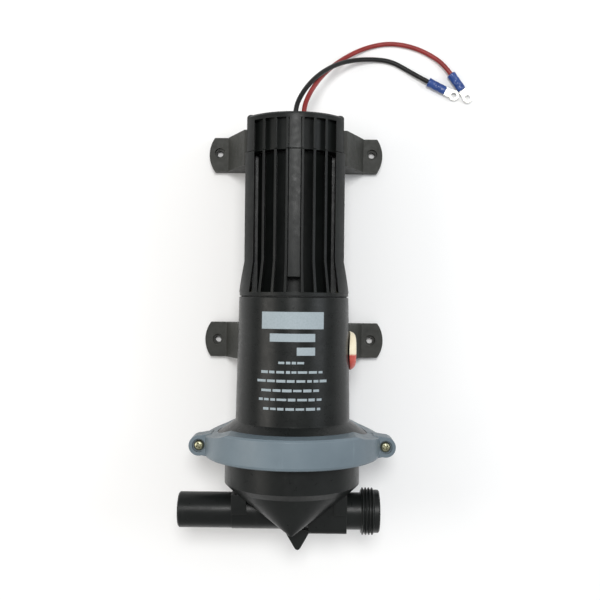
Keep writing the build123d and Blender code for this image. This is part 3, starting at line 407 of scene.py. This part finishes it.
for colour, route in ROUTES.items():
    curve = bpy.data.curves.new(f"lead_{colour}", "CURVE")
    curve.dimensions = "3D"
    spline = curve.splines.new("NURBS")
    spline.points.add(len(route) - 1)
    for control, point in zip(spline.points, route):
        control.co = (*point, 1)
    spline.order_u = 3
    spline.use_endpoint_u = True
    curve.resolution_u = 16
    curve.bevel_depth = WIRE_DIAMETER / 2
    curve.bevel_resolution = 8
    curve.use_fill_caps = True
    lead = add_piece(f"lead_{colour}", curve, "casing", f"wire_{colour}")
    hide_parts(f"wire_{colour}")
    sleeve = terminal_sleeve(f"crimp_sleeve_{colour}", route)
    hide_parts(f"terminal_sleeve_{colour}")


# ---- clamp screws -------------------------------------------------------------------------------
SCREW_SEAT = AXIS_HEIGHT + 5.8 * MM
PAN_HEAD_R = 3.75
PAN_HEAD_HEIGHT = 2.30
TIP_R = 0.02

# (radius, height) of the head and shank in millimetres, from the crown down to the tip
SCREW_PROFILE = [
    (TIP_R, PAN_HEAD_HEIGHT), (1.2, 2.28), (2.2, 2.12), (3.0, 1.72), (3.5, 1.15), (3.72, 0.55),
    (PAN_HEAD_R, 0.0), (2.0, 0.0), (2.0, -14.0), (1.4, -14.6), (TIP_R, -14.6),
]
RECESS_LONG, RECESS_WIDE, RECESS_DEPTH = 2.6, 0.68, 1.7
RECESS_CLEAR = 3.0


def cross_outline(long, wide, height, turn):
    """Twelve corners of a cross at one height, in millimetres."""
    corners = []
    for quarter in range(4):
        angle = turn + quarter * math.pi / 2
        for x, y in ((long, -wide), (long, wide), (wide, wide)):
            turned_x = x * math.cos(angle) - y * math.sin(angle)
            turned_y = x * math.sin(angle) + y * math.cos(angle)
            corners.append(Vector((turned_x, turned_y, height)))
    return corners


def pan_head_screw(centre_x, centre_y, turn):
    """Turned pan head and shank with a tapering cross recess cut into the head."""
    around = [n * math.tau / 48 for n in range(48)]
    rings = [
        [(radius * math.cos(angle), radius * math.sin(angle), height) for angle in around]
        for radius, height in SCREW_PROFILE
    ]
    body = bpy.data.objects.new("screw_body", skinned("screw_body", rings))
    foot_height = PAN_HEAD_HEIGHT - RECESS_DEPTH
    top = cross_outline(RECESS_LONG, RECESS_WIDE, RECESS_CLEAR, turn)
    foot = cross_outline(RECESS_LONG * 0.45, RECESS_WIDE * 0.55, foot_height, turn)
    cutter = bpy.data.objects.new("screw_recess", skinned("screw_recess", [foot, top], smooth=False))
    for helper in (body, cutter):
        bpy.context.scene.collection.objects.link(helper)
    cut = body.modifiers.new("recess", "BOOLEAN")
    cut.object = cutter
    cut.solver = "EXACT"
    bpy.context.view_layer.update()
    evaluated = body.evaluated_get(bpy.context.evaluated_depsgraph_get())
    made = bpy.data.meshes.new_from_object(evaluated)
    for helper in (body, cutter):
        bpy.data.objects.remove(helper)
    for vertex in made.vertices:
        vertex.co = Vector((centre_x, centre_y, SCREW_SEAT)) + vertex.co * MM
    return made


def clamp_screws(name, node):
    """Both clamp screws as one piece, over the frame's own pair."""
    low, high = (Vector(corner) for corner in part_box(node))
    radius = PAN_HEAD_R * MM
    middle_y = (low.y + high.y) / 2
    build = bmesh.new()
    for x, turn in ((low.x + radius, 0.35), (high.x - radius, 0.62)):
        build.from_mesh(pan_head_screw(x, middle_y, turn))
    mesh = bpy.data.meshes.new(name)
    build.to_mesh(mesh)
    build.free()
    mesh.set_sharp_from_angle(angle=math.radians(35))
    piece = add_piece(name, mesh, "casing", "zinc_steel")
    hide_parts(node)


clamp_screws("clamp_screw_pair", "clamp_screws")


# ---- printing on the gear housing ---------------------------------------------------------------
SKIRT_TOP_Y, SKIRT_TOP_R = -0.0396, 0.0392
SKIRT_LOW_Y, SKIRT_LOW_R = -0.1278, 0.0409
INK_UNDER, INK_TOP = 0.00002, 0.00011
INK_STEP = 0.0012

# blank bars as (x0, x1, y0, y1), and rows of small blank marks as (middle y, left x, right x)
PRINTED_BARS = [
    (-0.0213, 0.0207, -0.0614, -0.0498), (-0.0158, 0.0150, -0.0700, -0.0645),
    (0.0026, 0.0150, -0.0792, -0.0738),
]
PRINTED_ROWS = [
    (-0.0842, -0.0098, 0.0078), (-0.0905, -0.0214, 0.0202), (-0.0965, -0.0240, 0.0230),
    (-0.1029, -0.0212, 0.0200), (-0.1090, -0.0228, 0.0210), (-0.1153, -0.0198, 0.0189),
]


def housing_radius(y):
    """Radius of the tapered gear housing at one height on the pump's axis."""
    share = (SKIRT_TOP_Y - y) / (SKIRT_TOP_Y - SKIRT_LOW_Y)
    return SKIRT_TOP_R + (SKIRT_LOW_R - SKIRT_TOP_R) * share


def on_housing(x, y, lift):
    """Point on the front of the housing at one x and y, lifted off it."""
    radius = housing_radius(y) + lift
    return Vector((x, y, AXIS_HEIGHT + math.sqrt(radius * radius - x * x)))


def ink_patch(build, x0, x1, y0, y1):
    """Adds one thin closed patch between two x and two y limits."""
    columns = max(1, int((x1 - x0) / INK_STEP))
    across = [x0 + (x1 - x0) * n / columns for n in range(columns + 1)]
    under, top = (
        [[build.verts.new(on_housing(x, y, lift)) for y in (y0, y1)] for x in across]
        for lift in (INK_UNDER, INK_TOP)
    )
    for n in range(columns):
        build.faces.new((top[n][0], top[n + 1][0], top[n + 1][1], top[n][1]))
        build.faces.new((under[n][1], under[n + 1][1], under[n + 1][0], under[n][0]))
        build.faces.new((under[n][0], under[n + 1][0], top[n + 1][0], top[n][0]))
        build.faces.new((top[n][1], top[n + 1][1], under[n + 1][1], under[n][1]))
    build.faces.new((under[0][1], under[0][0], top[0][0], top[0][1]))
    build.faces.new((under[-1][0], under[-1][1], top[-1][1], top[-1][0]))


def printed_rows():
    """Blank panel, two solid bars and six rows of small blank marks."""
    draw = random.Random(7)
    build = bmesh.new()
    for bar in PRINTED_BARS:
        ink_patch(build, *bar)
    for middle, left, right in PRINTED_ROWS:
        x = left
        while x < right - 0.001:
            width = min(draw.uniform(0.0026, 0.0072), right - x)
            half = draw.uniform(0.00075, 0.00095)
            ink_patch(build, x, x + width, middle - half, middle + half)
            x += width + draw.uniform(0.0008, 0.0013)
    mesh = bpy.data.meshes.new("housing_print")
    build.to_mesh(mesh)
    build.free()
    return mesh


add_piece("housing_print", printed_rows(), "casing", "print_ink")

# ---- floor and lights ---------------------------------------------------------------------------
FLOOR_HALF = 3.0
FLOOR_DROP = 0.0002
WORLD_STRENGTH = 0.55

# name, place, target, size, power and colour
LIGHTS = [
    ("overhead", (0.03, 0.30, 1.35), (0, -0.02, 0), 0.35, 9, (1, 1, 0.99)),
    ("warm_left", (-0.9, -0.1, 0.75), (0, -0.02, 0.03), 0.6, 3.8, (1.0, 0.96, 0.90)),
    ("cool_right", (0.9, 0.1, 0.75), (0, -0.02, 0.03), 0.6, 3.2, (0.90, 0.95, 1.0)),
]

floor_corners = [(x * FLOOR_HALF, y * FLOOR_HALF, 0) for x, y in ((-1, -1), (1, -1), (1, 1), (-1, 1))]
floor_mesh = bpy.data.meshes.new("floor")
floor_mesh.from_pydata(floor_corners, [], [(0, 1, 2, 3)])
floor = bpy.data.objects.new("floor", floor_mesh)
bpy.context.scene.collection.objects.link(floor)
floor.location.z = -FLOOR_DROP
floor_mesh.materials.append(Graph("floor", (0.88, 0.88, 0.88), 0.7).material)


def area_light(name, place, target, size, power, colour):
    """Round area light aimed at a target."""
    data = bpy.data.lights.new(name, "AREA")
    data.shape = "DISK"
    data.size = size
    data.energy = power
    data.color = colour
    light = bpy.data.objects.new(name, data)
    light.location = place
    aim = Vector(target) - Vector(place)
    light.rotation_euler = aim.to_track_quat("-Z", "Y").to_euler()
    bpy.context.scene.collection.objects.link(light)


for light_values in LIGHTS:
    area_light(*light_values)

world = bpy.data.worlds.new("studio")
world.use_nodes = True
background = world.node_tree.nodes["Background"]
background.inputs["Color"].default_value = (1, 1, 1, 1)
background.inputs["Strength"].default_value = WORLD_STRENGTH
bpy.context.scene.world = world
bpy.context.scene.view_settings.view_transform = "Standard"
